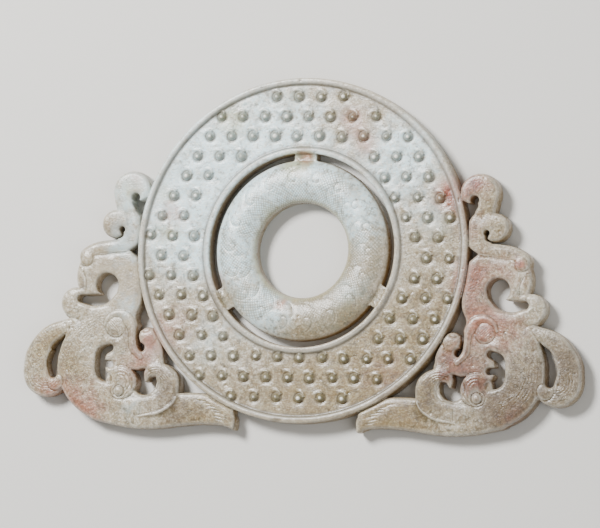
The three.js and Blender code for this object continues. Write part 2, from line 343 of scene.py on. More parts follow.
def outline(x, y):
    """Distance to the edge of the whole stone: negative in it, positive outside it and in its openings."""
    r = np.hypot(x, y)
    disc = np.maximum(r - DISC["radius"], DISC["hole"] - r)
    ring = np.maximum(r - RING["radius"], RING["hole"] - r)
    edge = np.minimum(np.minimum(disc, ring), nearest_tab(x, y))
    near_birds = (r > DISC["radius"] - BIRD_ZONE["overlap"]) & (y < BIRD_ZONE["top"])
    bird = bird_distance(np.abs(x[near_birds]), y[near_birds])
    edge[near_birds] = np.minimum(edge[near_birds], bird)
    return edge


# ---------------------------------------------------------------- relief


def ramp(value, low, high):
    t = np.clip((value - low) / (high - low), 0, 1)
    return t * t * (3 - 2 * t)


def quarter_round(depth, radius):
    """0 at an edge, rising like a quarter circle to 1 at `radius` in from it."""
    t = np.clip(1 - depth / radius, 0, 0.98)
    return np.sqrt(1 - t * t)


def furrow(distance, width):
    return np.exp(-((distance / (width / 2)) ** 2))


def layer(height, distance, top, edge, foot):
    """Raises the height to `top` inside a form, with a rounded edge and a furrow along its foot."""
    risen = height + np.maximum(top - height, 0) * quarter_round(-distance, edge)
    risen = np.where(distance < 0, risen, height)
    return risen - foot * furrow(distance - FOOT["off"], FOOT["width"])


def cut(height, x, y, stations, depth):
    """A wheel-cut line, deepest along its middle."""
    full_depth_in = 0.22
    return height - depth * np.clip(-form_distance(x, y, stations) / full_depth_in, 0, 1)


def undulation(x, y):
    """The slight waviness that hand polishing leaves."""
    return WAVINESS * np.sin(0.55 * x + 1.3 * np.sin(0.21 * y)) * np.sin(0.47 * y + 1.1 * np.sin(0.26 * x))


def pits(x, y):
    """Small pits where the stone has weathered."""
    hand = np.random.RandomState(11)
    height = np.zeros(x.shape)
    for _ in range(PITS["count"]):
        site_x, site_y = hand.uniform(*PITS["across"]), hand.uniform(*PITS["up"])
        size, depth = hand.uniform(*PITS["sizes"]), hand.uniform(*PITS["depths"])
        near = (np.abs(x - site_x) < PITS["reach"]) & (np.abs(y - site_y) < PITS["reach"])
        height[near] -= depth * np.exp(-np.hypot(x[near] - site_x, y[near] - site_y) ** 2 / size**2)
    return height


def boss_sites():
    """The corners of equal triangles, in level rows, wherever a boss fits between the rims."""
    pitch, row_pitch = BOSS["pitch"], BOSS["pitch"] * math.sqrt(3) / 2
    rows, columns = (math.ceil(DISC["radius"] / step) for step in (row_pitch, pitch))
    sites = []
    for row in range(-rows, rows + 1):
        for column in range(-columns, columns + 1):
            x = BOSS_GRID["x"] + (row % 2) * pitch / 2 + column * pitch
            y = BOSS_GRID["y"] + row * row_pitch
            clear_of_hole = math.hypot(x, y - BOSS_GRID["inner_shift"]) > BOSS_GRID["inner_limit"]
            if math.hypot(x, y) < BOSS_GRID["outer_limit"] and clear_of_hole:
                sites.append((x, y))
    return sites


def grain_bosses(x, y):
    """Round grains in soft dimples, each with a curling tail. Hand work makes them all a little different."""
    hand = np.random.RandomState(7)
    height = np.zeros(x.shape)
    for site_x, site_y in boss_sites():
        shift_x, shift_y = hand.uniform(-BOSS["shift"], BOSS["shift"], 2)
        size, rise = hand.uniform(*BOSS["sizes"], 2)
        turn = math.radians(hand.uniform(*BOSS["tail_starts"]))
        near = (np.abs(x - site_x) < BOSS["reach"]) & (np.abs(y - site_y) < BOSS["reach"])
        dx, dy = x[near] - site_x - shift_x, y[near] - site_y - shift_y
        d = np.hypot(dx, dy)
        angle = (np.arctan2(dy, dx) - turn) % (2 * math.pi)
        radius = BOSS["radius"] * size
        dome = BOSS["height"] * rise * np.clip(1 - (d / radius) ** 2, 0, 1) ** 1.1
        around = 0.35 + 0.65 * np.clip(np.sin(angle / 2), 0, 1)
        ring = around * furrow(d - BOSS["furrow"] * size, BOSS["furrow_width"])
        dimple = np.exp(-((d / BOSS["dimple"]) ** 4))
        spread = BOSS["tail_spread"] * angle
        curl = np.clip(1 - angle / BOSS["tail_turn"], 0, 1) ** 0.7
        tail = curl * furrow(d - radius - spread, BOSS["tail_width"]) * (d > 0.4 * radius)
        risen = np.maximum(dome, BOSS["tail_height"] * tail)
        height[near] += risen - BOSS["sink"] * ring * (1 - 0.8 * tail) - BOSS["dimple_depth"] * dimple
    return height


def chips(x, y, r):
    """Old chips along the disc's edge."""
    angle = np.degrees(np.arctan2(y, x))
    height = np.zeros(x.shape)
    for at, wide, deep in CHIPS:
        off = ((angle - at + 180) % 360 - 180) * math.radians(DISC["radius"])
        inward = (DISC["radius"] - r) / (CHIP_REACH * wide)
        height -= deep * np.clip(1 - (off / wide) ** 2, 0, 1) * np.clip(1 - inward, 0, 1)
    return height


def disc_front(x, y, r):
    height = DISC["field"] + 2 * undulation(x, y) + grain_bosses(x, y)
    from_edge = DISC["radius"] - r
    from_hole = r - DISC["hole"]
    worn = RIM["worn"] * ramp(np.cos(np.arctan2(y, x) - math.radians(RIM["worn_at"])), 0.7, 1)
    for inward, top in ((from_edge, DISC["top"] - worn), (from_hole, DISC["top"] - RIM["inner_drop"])):
        on_rim = 1 - ramp(inward, RIM["width"], RIM["width"] + RIM["slope"])
        height = height + (top - height) * on_rim
        groove = furrow(inward - RIM["width"] - RIM["slope"] - RIM["groove_at"], RIM["groove_width"])
        height = height - RIM["groove_depth"] * groove
        height = height - RIM["edge_drop"] * (1 - quarter_round(inward, RIM["edge"]))
    return height + chips(x, y, r)


def ring_height(r, edge, crown):
    middle = (RING["radius"] + RING["hole"]) / 2
    half_width = (RING["radius"] - RING["hole"]) / 2
    u = np.clip(np.abs(r - middle) / half_width, 0, 1)
    return edge + (crown - edge) * np.sqrt(1 - u * u)


def ring_front(x, y, r):
    """The ring's dome, with its border of scrolls."""
    height = ring_height(r, RING["front_edge"], RING["crown"]) + undulation(x, y)
    sector = 2 * math.pi / RING_SECTORS
    angle = (np.arctan2(y, x) + sector / 2) % sector - sector / 2
    for stations in RING_LINES.values():
        height = cut(height, r * np.cos(angle), r * np.sin(angle), stations, RING_LINE_DEPTH)
    return height


def bird_front(x, y):
    """The front of a bird, in the plan of the right one."""
    edge = -bird_distance(x, y)
    height = np.full(x.shape, WING["front"])
    for group, top, rounding, foot in LAYERS:
        height = layer(height, blended(x, y, group), top, rounding, foot)
    to_right = ramp(x, HAUNCH_STEP["fades_from"], HAUNCH_STEP["fades_to"])
    haunch_top = HAUNCH_STEP["left"] + (HAUNCH_STEP["right"] - HAUNCH_STEP["left"]) * to_right
    haunch_foot = HAUNCH_STEP["foot"] * (1 - to_right)
    haunch = layer(height, nearest(x, y, HAUNCH), haunch_top, HAUNCH_STEP["rounding"], haunch_foot)
    on_boss = nearest(x, y, HAUNCH_BOSS) < HAUNCH_BOSS_MARGIN
    height = np.where(on_boss, height, haunch)
    for stations in CUT_LINES.values():
        height = cut(height, x, y, stations, CUT_DEPTH)
    half, rise = TAIL_STROKE["length"] / 2, TAIL_STROKE["rise"]
    for stroke_x, stroke_y in TAIL_STROKES:
        start = (stroke_x - half, stroke_y - rise, TAIL_STROKE["end_width"])
        middle = (stroke_x, stroke_y, TAIL_STROKE["width"])
        end = (stroke_x + half, stroke_y + rise, TAIL_STROKE["end_width"])
        height = cut(height, x, y, [start, middle, end], TAIL_STROKE["depth"])
    height = cut(height, x, y, SCROLL_EDGE, -SCROLL_EDGE_RISE)
    soft = nearest(x, y, SOFT_OPENINGS)
    height = height - WING["soft_drop"] * (1 - quarter_round(soft, WING["soft_edge"]))
    height = height - WING["edge_drop"] * (1 - quarter_round(edge, WING["edge"]))
    from_disc = np.hypot(x, y) - DISC["radius"]
    join = furrow(from_disc - WING["join_at"], WING["join_width"])
    return height + undulation(x, y) - WING["join_depth"] * join


def zones(x, y):
    """The distance from the centre, and which points are on the ring, a tab's neck, the disc and a bird."""
    r = np.hypot(x, y)
    ring = r <= (RING["radius"] + DISC["hole"]) / 2
    neck = (r > RING["radius"] - TAB["reach"]) & (r < DISC["hole"]) & (nearest_tab(x, y) < TAB["margin"])
    disc = (r >= DISC["hole"] - 0.1) & (r <= DISC["radius"] + JOIN)
    return r, ring, neck, disc, r > DISC["radius"] + JOIN


def front(x, y):
    r, ring, neck, disc, wing = zones(x, y)
    height = np.where(ring, ring_front(x, y, r), 0.0)
    height = np.where(neck, np.maximum(height, TAB["front"] - TAB["worn"]), height)
    height[disc] = disc_front(x[disc], y[disc], r[disc])
    height[wing] = bird_front(np.abs(x[wing]), y[wing])
    return height + pits(x, y)


def back(x, y):
    r, ring, neck, disc, wing = zones(x, y)
    height = np.where(ring, ring_height(r, RING["back_edge"], RING["back"]), 0.0)
    height = np.where(neck, np.minimum(height, TAB["back"]), height)
    height = np.where(neck & (height == 0), TAB["back"], height)
    inward = np.minimum(DISC["radius"] - r, r - DISC["hole"])
    plate = BACK["edge_rise"] * (1 - quarter_round(inward, BACK["disc_edge"]))
    plate = plate + BACK["line_depth"] * furrow(inward - BACK["line_at"], BACK["line_width"])
    height = np.where(disc, plate, height)
    edge = -bird_distance(np.abs(x[wing]), y[wing])
    wing_back = WING["back"] + BACK["edge_rise"] * (1 - quarter_round(edge, BACK["wing_edge"]))
    for stations in CUT_LINES.values():
        wing_back = cut(wing_back, np.abs(x[wing]), y[wing], stations, -BACK["cut_depth"])
    height[wing] = wing_back
    return height


# ---------------------------------------------------------------- the stone's mesh


def coordinates(mesh):
    flat = np.empty(len(mesh.vertices) * 3, np.float32)
    mesh.vertices.foreach_get("co", flat)
    return flat.reshape(-1, 3).astype(float)


def set_coordinates(mesh, points):
    mesh.vertices.foreach_set("co", points.astype(np.float32).ravel())
    mesh.update()


def sawn_blank():
    """A flat sheet of small squares in millimetres, sawn to the outline of the stone."""
    bm = bmesh.new()
    margin = 1
    width = (stone_high.x - stone_low.x) / MM + margin
    height = (stone_high.y - stone_low.y) / MM + margin
    columns, rows = round(width / SPACING), round(height / SPACING)
    bmesh.ops.create_grid(bm, x_segments=columns, y_segments=rows, size=0.5)
    middle = ((stone_high.y + stone_low.y) / 2 - CENTRE_Y) / MM
    spread = Matrix.Translation((0, middle, 0)) @ Matrix.Diagonal((width, height, 1, 1))
    bmesh.ops.transform(bm, matrix=spread, verts=bm.verts)
    points = np.array([vertex.co[:2] for vertex in bm.verts])
    outside = outline(points[:, 0], points[:, 1]) > 0.3 * SPACING
    bmesh.ops.delete(bm, geom=[v for v, out in zip(bm.verts, outside) if out], context="VERTS")
    # Corners that hold two parts of the sheet by a point would leave no clean edge.
    while True:
        pinched = [v for v in bm.verts if sum(e.is_boundary for e in v.link_edges) > 2]
        loose = [v for v in bm.verts if not v.link_faces]
        if not pinched and not loose:
            break
        bmesh.ops.delete(bm, geom=pinched + loose, context="VERTS")
    bmesh.ops.delete(bm, geom=[e for e in bm.edges if e.is_wire], context="EDGES")
    mesh = bpy.data.meshes.new(STONE + "_carved")
    bm.to_mesh(mesh)
    bm.free()
    return mesh


def downhill(x, y):
    """The direction in plan in which the distance to the outline grows."""
    step = 0.02
    gx = (outline(x + step, y) - outline(x - step, y)) / (2 * step)
    gy = (outline(x, y + step) - outline(x, y - step)) / (2 * step)
    size = np.maximum(np.hypot(gx, gy), 0.3)
    return gx / size, gy / size


def fit_outline(mesh):
    """Moves the sheet's sawn edge on to the true outline, and evens out the squares beside it."""
    points = coordinates(mesh)
    edges = np.empty(len(mesh.edges) * 2, int)
    mesh.edges.foreach_get("vertices", edges)
    a, b = edges.reshape(-1, 2).T
    bm = bmesh.new()
    bm.from_mesh(mesh)
    on_edge = np.array([vertex.is_boundary for vertex in bm.verts])
    bm.free()
    beside = np.zeros(len(points), bool)
    beside[a[on_edge[b]]] = beside[b[on_edge[a]]] = True
    beside[a[beside[b]]] = beside[b[beside[a]]] = True
    inner = beside & ~on_edge
    along = on_edge[a] & on_edge[b]
    for _ in range(FIT_ROUNDS):
        for moving, links in ((on_edge, along), (inner, np.ones(len(a), bool))):
            total = np.zeros((len(points), 2))
            count = np.zeros(len(points))
            for start, end in ((a[links], b[links]), (b[links], a[links])):
                np.add.at(total, start, points[end, :2])
                np.add.at(count, start, 1)
            mean = total[moving] / np.maximum(count[moving], 1)[:, None]
            points[moving, :2] += 0.5 * (mean - points[moving, :2])
        for _ in range(2):
            x, y = points[on_edge, 0], points[on_edge, 1]
            gx, gy = downhill(x, y)
            distance = np.clip(outline(x, y), -SPACING, SPACING)
            points[on_edge, 0] -= distance * gx
            points[on_edge, 1] -= distance * gy
    set_coordinates(mesh, points)


def thicken(mesh):
    """Gives the sheet its second side and walls. Here z runs from 0 at the back to 1 at the front."""
    bm = bmesh.new()
    bm.from_mesh(mesh)
    raised = bmesh.ops.extrude_face_region(bm, geom=bm.faces[:] + bm.edges[:] + bm.verts[:])["geom"]
    bmesh.ops.translate(bm, vec=(0, 0, 1), verts=[g for g in raised if isinstance(g, bmesh.types.BMVert)])
    upright = [e for e in bm.edges if abs(e.verts[0].co.z - e.verts[1].co.z) > 0.5]
    bmesh.ops.subdivide_edges(bm, edges=upright, cuts=WALL_CUTS, use_grid_fill=False)
    bmesh.ops.recalc_face_normals(bm, faces=bm.faces)
    bm.to_mesh(mesh)
    bm.free()


def carve(mesh):
    """Moves every point to its height. The walls get the slight ridge that cutting from both faces leaves."""
    points = coordinates(mesh)
    x, y, share = points.T
    low, high = back(x, y), front(x, y)
    wall = (share > 0.01) & (share < 0.99)
    gx, gy = downhill(x[wall], y[wall])
    bulge = WALL_RIDGE * np.sin(math.pi * share[wall])
    points[:, 2] = low + share * (high - low)
    points[wall, 0] += bulge * gx
    points[wall, 1] += bulge * gy
    set_coordinates(mesh, points)


def spare_triangles(mesh):
    """Merges triangles where the surface is plain, so that the stone keeps to its count."""
    piece = bpy.data.objects.new("spare", mesh)
    bpy.context.scene.collection.objects.link(piece)
    count = sum(len(polygon.vertices) - 2 for polygon in mesh.polygons)
    decimate = piece.modifiers.new("spare", "DECIMATE")
    decimate.ratio = min(1, TRIANGLES / count)
    evaluated = piece.evaluated_get(bpy.context.evaluated_depsgraph_get())
    made = bpy.data.meshes.new_from_object(evaluated)
    bpy.data.objects.remove(piece)
    return made


# ---------------------------------------------------------------- where the strokes and colours lie

# How far apart the hair strokes lie on each form: as coarse as they need to be to show.
STROKE = {"haunch": 0.8, "scroll": 0.6, "feather": 0.65, "knob": 0.7, "body": 0.75}
# A hollow counts in full where the front lies `depth` below what is `round` away from it. Nothing counts
# as a hollow within `from_edge` of the outline.
# Hollows are painted darker, partly as dirt and partly as shade, and crests lighter, partly as wear and
# partly as highlight.
HOLLOW = {"round": 0.35, "depth": 0.09, "from_edge": 0.45}

# (x, y, radius, strength) of soft patches of each tint, on the whole stone.
PATCHES = {
    "milk": [
        (-24, 22, 20, 0.9), (-4, 34, 14, 0.4), (-33, 2, 12, 0.6), (0, 17, 10, 1), (-17, 3, 10, 1.1),
        (15, 8, 9, 0.7), (-8, -15, 8, 0.8), (14, -10, 6, 0.5), (-24, -24, 8, 0.4), (-47, 14, 6, 0.5),
        (26, 24, 11, 0.9), (35, 8, 6, 0.5), (10, -21, 6, 0.3), (-49, 1, 4, 0.6), (-39, -26, 3.5, 0.5),
        (-46, -15, 4, 0.4), (-44, -40, 4, 0.4), (66, -15, 5, 0.4),
    ],
    "tan": [
        (34, -14, 13, 0.6), (22, -32, 16, 0.9), (0, -36, 14, 0.7), (14, -17, 5, 0.6), (2, -21, 4, 0.3),
        (-25, -40, 12, 0.7), (38, 6, 8, 0.4), (28, -41, 9, 0.5), (-67, -30, 8, 0.5), (46, 14, 8, 0.5),
        (50, 4, 7, 0.4), (-3, 21.5, 4, 0.9), (-9, 10, 2.6, 0.5), (-46, 15, 4, 0.6), (-20, 33, 5, 0.7),
        (-5, 40, 4, 0.4), (-36, 4, 4, 0.6), (0, 24, 3, 0.9), (-20, -13, 4, 0.5), (-37, 14, 3, 0.5),
        (-68, -22, 6, 0.7), (-60, -31, 6, 0.5), (-50, -38, 5, 0.5),
    ],
    "umber": [
        (44, -30, 9, 0.5), (57, -40, 9, 1.1), (69, -28, 9, 0.85), (35, -37, 8, 0.35), (48, -10, 6, 0.4),
        (56, -22, 7, 0.2), (-32, -41, 8, 0.5), (-36, -34, 5, 0.4), (-48, -24, 6, 0.4),
        (-43, -10, 4, 0.4), (-58, -10, 4, 0.3), (-50, 3, 7, 0.5),
    ],
    "russet": [
        (0, 23.7, 2.5, 0.7), (12, 33, 4, 0.6), (16, 27, 3.5, 0.6), (38.5, 14, 4.5, 1),
        (42.5, -8, 4, 0.5), (45, 17.5, 4.5, 0.7), (44, 6, 4, 0.5), (45, -5, 5, 0.6), (46, -17, 6, 0.7),
        (54, -20, 7, 0.5), (40, -27, 5, 0.6), (-58, -42, 8, 0.7), (-40, -24, 5, 0.5),
        (-43, -31, 5, 0.5), (-35, 9, 4, 0.5), (-33, -20, 7, 0.4), (-22, -8, 3, 0.4), (46, -32, 5, 0.7),
        (54, -4, 6, 0.4), (57, -42, 5, 0.5), (24, -31, 8, 0.35), (-66, -36, 5, 0.5), (-45, 17, 3, 0.4),
    ],
    "clear": [
        (-51, -3, 8, 1), (-45, -13, 6, 0.9), (-47, 13, 7, 0.8), (-39, 17, 6, 0.8), (-40, -23, 4, 0.6),
        (-24, 22, 14, 0.3), (0, 0, 20, 0.4), (24, -38, 6, 0.6), (0, -38, 8, 0.4),
    ],
    "orange": [
        (38.7, -30.8, 2.2, 0.9), (38.5, 14.5, 2.2, 0.7), (-4.5, -14, 2, 0.7), (45, 18, 2.5, 0.5),
        (57.3, -2.8, 2, 0.6),
    ],
}


def patch_strength(x, y, patches):
    return sum(
        strength * np.exp(-(((x - patch_x) ** 2 + (y - patch_y) ** 2) / radius**2))
        for patch_x, patch_y, radius, strength in patches)


def between(value, low, high, soft=0.4):
    return ramp(value, low, low + soft) * (1 - ramp(value, high - soft, high))


def bird_strokes(x, y):
    """Hair strokes that fill parts of a bird, as (number of the stroke, how deep it is cut) for each part."""
    haunch = -nearest(x, y, HAUNCH)
    clear_of_boss = ramp(nearest(x, y, HAUNCH_BOSS), 0.2, 0.6)
    scroll, along, across = band_coordinates(x, y, SCROLL["scroll"])
    feather = -nearest(x, y, FEATHER)
    knob = -nearest(x, y, SHOULDER_KNOB)
    body = -form_distance(x, y, TRUNK["body"])
    outer_body = ramp(x, 50, 53) * between(y, -39, -14, 3)
    low_on_feather = (1 - ramp(y, -29.5, -28)) * ramp(-body, 0.2, 0.6)
    left_on_haunch = (1 - ramp(x, 47.8, 48.8)) * clear_of_boss
    return (
        (body / STROKE["body"], 0.45 * between(body, 0.7, 6.5, 1) * outer_body),
        (feather / STROKE["feather"], 0.6 * between(feather, 0.4, 4.6) * low_on_feather),
        (across / STROKE["scroll"], ramp(-scroll, 0.3, 0.6) * (1 - ramp(along, 7, 10))),
        ((x - y) / STROKE["knob"], 0.5 * ramp(knob, 0.5, 0.9)),
        (haunch / STROKE["haunch"], between(haunch, 0.2, 3.8) * left_on_haunch),
    )


def hollowness(x, y):
    """How far each point of the front lies below its surroundings, as a share of a full hollow."""
    turns = np.linspace(0, 2 * math.pi, 6, endpoint=False)
    far = HOLLOW["round"]
    around = sum(front(x + far * math.cos(turn), y + far * math.sin(turn)) for turn in turns) / len(turns)
    return (around - front(x, y)) / HOLLOW["depth"]


def mark_surface(mesh):
    """Stores on the points how much of each tint, hollow, wall and stroke there is, and where shade and
    highlights are painted.
    """
    points = coordinates(mesh)
    x, y, _ = points.T
    r = np.hypot(x, y)
    normals = np.empty(len(mesh.vertices) * 3, np.float32)
    mesh.vertex_normals.foreach_get("vector", normals)
    facing = normals.reshape(-1, 3)[:, 2]
    on_front = facing > 0.3
    from_edge = outline(x, y)
    grain = grain_bosses(x, y)
    off_tab = ramp(nearest_tab(x, y), 0.2, 0.7)
    dip = np.where(on_front & (from_edge < -HOLLOW["from_edge"]), hollowness(x, y), 0)
    inward = np.minimum(DISC["radius"] - r, np.where(r > DISC["hole"], r - DISC["hole"], FAR))
    marks = {name: patch_strength(x, y, patches) for name, patches in PATCHES.items()}
    # Darker where the front lies below its surroundings: partly dirt, partly painted shade.
    marks["hollow"] = np.clip(dip, 0, 1) * off_tab
    # Lighter on rounded crests, but not on the grains: partly wear, partly a painted highlight.
    marks["worn"] = np.clip(-dip, 0, 1) * off_tab * (1 - ramp(grain, 0.02, 0.3))
    # Brown walls: their own colour, at full strength within the disc's hole and half elsewhere; the extra
    # depth there is painted shade.
    marks["wall"] = (1 - ramp(np.abs(facing), 0.15, 0.5)) * np.where(r < DISC["hole"] + 1, 1, 0.5)
    marks["lip"] = on_front * (1 - ramp(r, RING["hole"] + 0.2, RING["hole"] + 1.8))
    # Darker boss domes: partly their own tone, partly painted shade on their flanks.
    marks["grain"] = on_front * ramp(grain, 0.02, 0.3)
    # Painted shade in the furrow round each boss.
    marks["moat_shade"] = on_front * ramp(-grain, 0.05, 0.22)
    # Painted highlight: a near-white glint on the top of each boss.
    marks["tip"] = on_front * ramp(grain, 0.76 * BOSS["height"], 0.93 * BOSS["height"])
    marks["rim"] = on_front * between(inward, 0.3, RIM["width"] + 2 * RIM["slope"], 0.7)
    # Painted highlight: a light line just inside the outline, where the rounded edges catch the light.
    marks["edge"] = on_front * ramp(from_edge, -0.6, -0.25)
    marks["stroke"] = np.zeros(len(x))
    marks["stroke_depth"] = np.zeros(len(x))
    for number, depth in bird_strokes(np.abs(x), y):
        marks["stroke"] = np.where(depth > 0, number, marks["stroke"])
        marks["stroke_depth"] = np.maximum(marks["stroke_depth"], depth * on_front)
    for name, values in marks.items():
        mesh.attributes.new(name, "FLOAT", "POINT").data.foreach_set("value", values.astype(np.float32))


# ---------------------------------------------------------------- material

# The stone's own colours, and how wide its clouds and its finer mottle are, in mm.
BODY = {"dark": "#948469", "light": "#a79a82", "mottle": "#857455", "milk": "#d2eef6"}
CLOUD_SIZE = 9
MOTTLE_SIZE = 2.4
# Specks of the weathered skin. The last and finest also stand up from it a little.
# Each is (size in mm, offset, noise value where it starts, value where it is full, strength, colour).
SPECKS = (
    (2.4, 17, 0.48, 0.62, 0.4, "#757059"),
    (0.9, 29, 0.5, 0.62, 0.45, "#d6d3c5"),
    (1.1, 41, 0.53, 0.64, 0.6, "#544c3a"),
    (0.5, 53, 0.53, 0.66, 0.5, "#e6e3d6"),
)
# Stains soak in and tint what lies under them: (mark, tint, softness of the border, strength).
STAINS = (
    ("tan", "#cbbb92", 0.4, 0.85),
    ("umber", "#8f7d68", 0.45, 0.9),
    ("russet", "#e59079", 0.4, 0.9),
    ("orange", "#e0783c", 0.3, 0.85),
)
# What the shape does to the colour, (mark, colour, strength): wear and dirt, painted shade and painted
# highlights.
WEAR_AND_PAINTED_LIGHT = (
    ("rim", "#7f7c77", 0.55),
    # Boss domes: partly their own tone, partly painted shade.
    ("grain", "#6c6b55", 0.6),
    # Painted shade in the furrows round the bosses.
    ("moat_shade", "#574f3a", 0.4),
    # Hollows: partly dirt, partly painted shade.
    ("hollow", "#4f462f", 0.55),
    # Rounded crests: partly wear, partly a painted highlight.
    ("worn", "#d8d5c8", 0.4),
    # Painted highlight on the boss tops, standing in for their glint.
    ("tip", "#f6f4ea", 0.8),
    # Painted highlight along the outline.
    ("edge", "#dedbd0", 0.3),
    ("lip", "#a2955f", 0.55),
    # Walls: their own brown, deepened as painted shade inside the disc's hole.
    ("wall", "#7c6034", 0.85),
)
# The ring's cross-hatching is finer on such a stone. Here it is as coarse as it needs to be to show.
HATCH = {"lines_round": 126, "pitch": 0.9, "outer": 21.8, "fade": 0.5, "depth": 0.4}
# How incised lines darken: (depth where it starts, depth where it is full, strength, colour).
HATCH_SHADE = (0.3, 1, 0.65, "#7b7866")
STROKE_SHADE = (0.1, 0.9, 0.7, "#675c46")
IN_COLOUR = {"data_type": "RGBA"}
SMOOTH = {"interpolation_type": "SMOOTHSTEP"}


def linear(hex_colour):
    channels = (int(hex_colour[i:i + 2], 16) / 255 for i in (1, 3, 5))
    return (*(c / 12.92 if c <= 0.04045 else ((c + 0.055) / 1.055) ** 2.4 for c in channels), 1)


def add(tree, kind, inputs=None, **settings):
    """Adds a node. An input is a value, or a socket to link from, by the name or number of its place.

    A MapRange takes its value at 0, its range at 1 and 2, and the range that it gives at 3 and 4. A Mix of
    colours takes its share at 0 and its colours at 6 and 7.
    """
    made = tree.nodes.new("ShaderNode" + kind)
    for name, value in settings.items():
        setattr(made, name, value)
    for key, value in (inputs or {}).items():
        if isinstance(value, bpy.types.NodeSocket):
            tree.links.new(value, made.inputs[key])
        else:
            made.inputs[key].default_value = value
    return made


def clouded_stone(tree, cloud, mottle):
    """The stone's own colour: wide clouds, a finer mottle, and places where it turns milky."""
    tints = {name: linear(hex_colour) for name, hex_colour in BODY.items()}
    clouded = add(tree, "MapRange", {0: cloud, 1: 0.35, 2: 0.65}, **SMOOTH).outputs[0]
    mottled = add(tree, "MapRange", {0: mottle, 1: 0.4, 2: 0.7}, **SMOOTH).outputs[0]
    colour = add(tree, "Mix", {0: clouded, 6: tints["dark"], 7: tints["light"]}, **IN_COLOUR).outputs[2]
    colour = add(tree, "Mix", {0: mottled, 6: colour, 7: tints["mottle"]}, **IN_COLOUR).outputs[2]
    milk = add(tree, "Attribute", attribute_name="milk").outputs["Fac"]
    broken = add(tree, "Math", {0: mottle, 1: 1.2, 2: milk}, operation="MULTIPLY_ADD").outputs[0]
    milky = add(tree, "MapRange", {0: broken, 1: 0.75, 2: 1.5, 4: 0.9}, **SMOOTH).outputs[0]
    return add(tree, "Mix", {0: milky, 6: colour, 7: tints["milk"]}, **IN_COLOUR).outputs[2]


def specks(tree, in_mm, colour):
    """Lays the specks over a colour, fainter where the stone is clear. It also gives the finest of them."""
    clear = add(tree, "Attribute", attribute_name="clear").outputs["Fac"]
    weathered = add(tree, "MapRange", {0: clear, 1: 0, 2: 1, 3: 1, 4: 0.3}).outputs[0]
    for size, offset, start, full, strength, tint in SPECKS:
        moved = add(tree, "Mapping", {"Vector": in_mm, "Location": (offset, -offset, offset)}).outputs[0]
        noise = {"Vector": moved, "Scale": 1 / size, "Detail": 3, "Roughness": 0.6}
        speck = add(tree, "TexNoise", noise).outputs["Fac"]
        most = add(tree, "Math", {0: weathered, 1: strength}, operation="MULTIPLY").outputs[0]
        share = add(tree, "MapRange", {0: speck, 1: start, 2: full, 4: most}).outputs[0]
        colour = add(tree, "Mix", {0: share, 6: colour, 7: linear(tint)}, **IN_COLOUR).outputs[2]
    return colour, speck


def stains(tree, mottle, colour):
    """Soaks the stains into a colour. The mottle breaks up their borders."""
    border, breaking = 0.9, 0.9
    for name, tint, softness, strength in STAINS:
        amount = add(tree, "Attribute", attribute_name=name).outputs["Fac"]
        broken = add(tree, "Math", {0: mottle, 1: breaking, 2: amount}, operation="MULTIPLY_ADD").outputs[0]
        soaked = {0: broken, 1: border - softness, 2: border + softness, 4: strength}
        share = add(tree, "MapRange", soaked, **SMOOTH).outputs[0]
        layers = {0: share, 6: colour, 7: linear(tint)}
        colour = add(tree, "Mix", layers, blend_type="MULTIPLY", **IN_COLOUR).outputs[2]
    return colour


def wear_and_painted_light(tree, colour):
    """Tints rims and lips, darkens grains, moats, hollows and walls, partly as painted shade, and lightens
    worn crests, tips and edges as painted highlights.
    """
    for name, tint, strength in WEAR_AND_PAINTED_LIGHT:
        amount = add(tree, "Attribute", attribute_name=name).outputs["Fac"]
        share = add(tree, "Math", {0: amount, 1: strength}, operation="MULTIPLY").outputs[0]
        colour = add(tree, "Mix", {0: share, 6: colour, 7: linear(tint)}, **IN_COLOUR).outputs[2]
    return colour


def ring_hatching(tree, place, cloud):
    """The ring's cross-hatching, left in patches. It is 1 along a line."""
    from_centre = {"Vector": place, "Location": (0, -CENTRE_Y / MM, 0), "Scale": (1 / MM, 1 / MM, 0)}
    flat = add(tree, "Mapping", from_centre).outputs[0]
    radius = add(tree, "VectorMath", {0: flat}, operation="LENGTH").outputs["Value"]
    parts = add(tree, "SeparateXYZ", {0: flat}).outputs
    angle = add(tree, "Math", {0: parts[1], 1: parts[0]}, operation="ARCTAN2").outputs[0]
    across = add(tree, "Math", {0: radius, 1: 2 * math.pi / HATCH["pitch"]}, operation="MULTIPLY").outputs[0]
    leaning = []
    for lean in (1, -1):
        turning = {0: angle, 1: lean * HATCH["lines_round"], 2: across}
        phase = add(tree, "Math", turning, operation="MULTIPLY_ADD").outputs[0]
        leaning.append(add(tree, "Math", {0: phase}, operation="COSINE").outputs[0])
    crossed = add(tree, "Math", {0: leaning[0], 1: leaning[1]}, operation="MAXIMUM").outputs[0]
    in_patches = add(tree, "MapRange", {0: cloud, 1: 0.42, 2: 0.52}).outputs[0]
    border = {0: radius, 1: HATCH["outer"], 2: HATCH["outer"] - HATCH["fade"]}
    on_ring = add(tree, "MapRange", border).outputs[0]
    left = add(tree, "Math", {0: in_patches, 1: on_ring}, operation="MULTIPLY").outputs[0]
    return add(tree, "Math", {0: crossed, 1: left}, operation="MULTIPLY").outputs[0]


def hair_strokes(tree, mottle):
    """The birds' hair strokes, worn away in spots. A line lies at every whole number of its mark."""
    number = add(tree, "Attribute", attribute_name="stroke").outputs["Fac"]
    depth = add(tree, "Attribute", attribute_name="stroke_depth").outputs["Fac"]
    turns = add(tree, "Math", {0: number, 1: 2 * math.pi}, operation="MULTIPLY").outputs[0]
    wave = add(tree, "Math", {0: turns}, operation="COSINE").outputs[0]
    unworn = add(tree, "MapRange", {0: mottle, 1: 0.62, 2: 0.42}).outputs[0]
    left = add(tree, "Math", {0: depth, 1: unworn}, operation="MULTIPLY").outputs[0]
    return add(tree, "Math", {0: wave, 1: left}, operation="MULTIPLY").outputs[0]


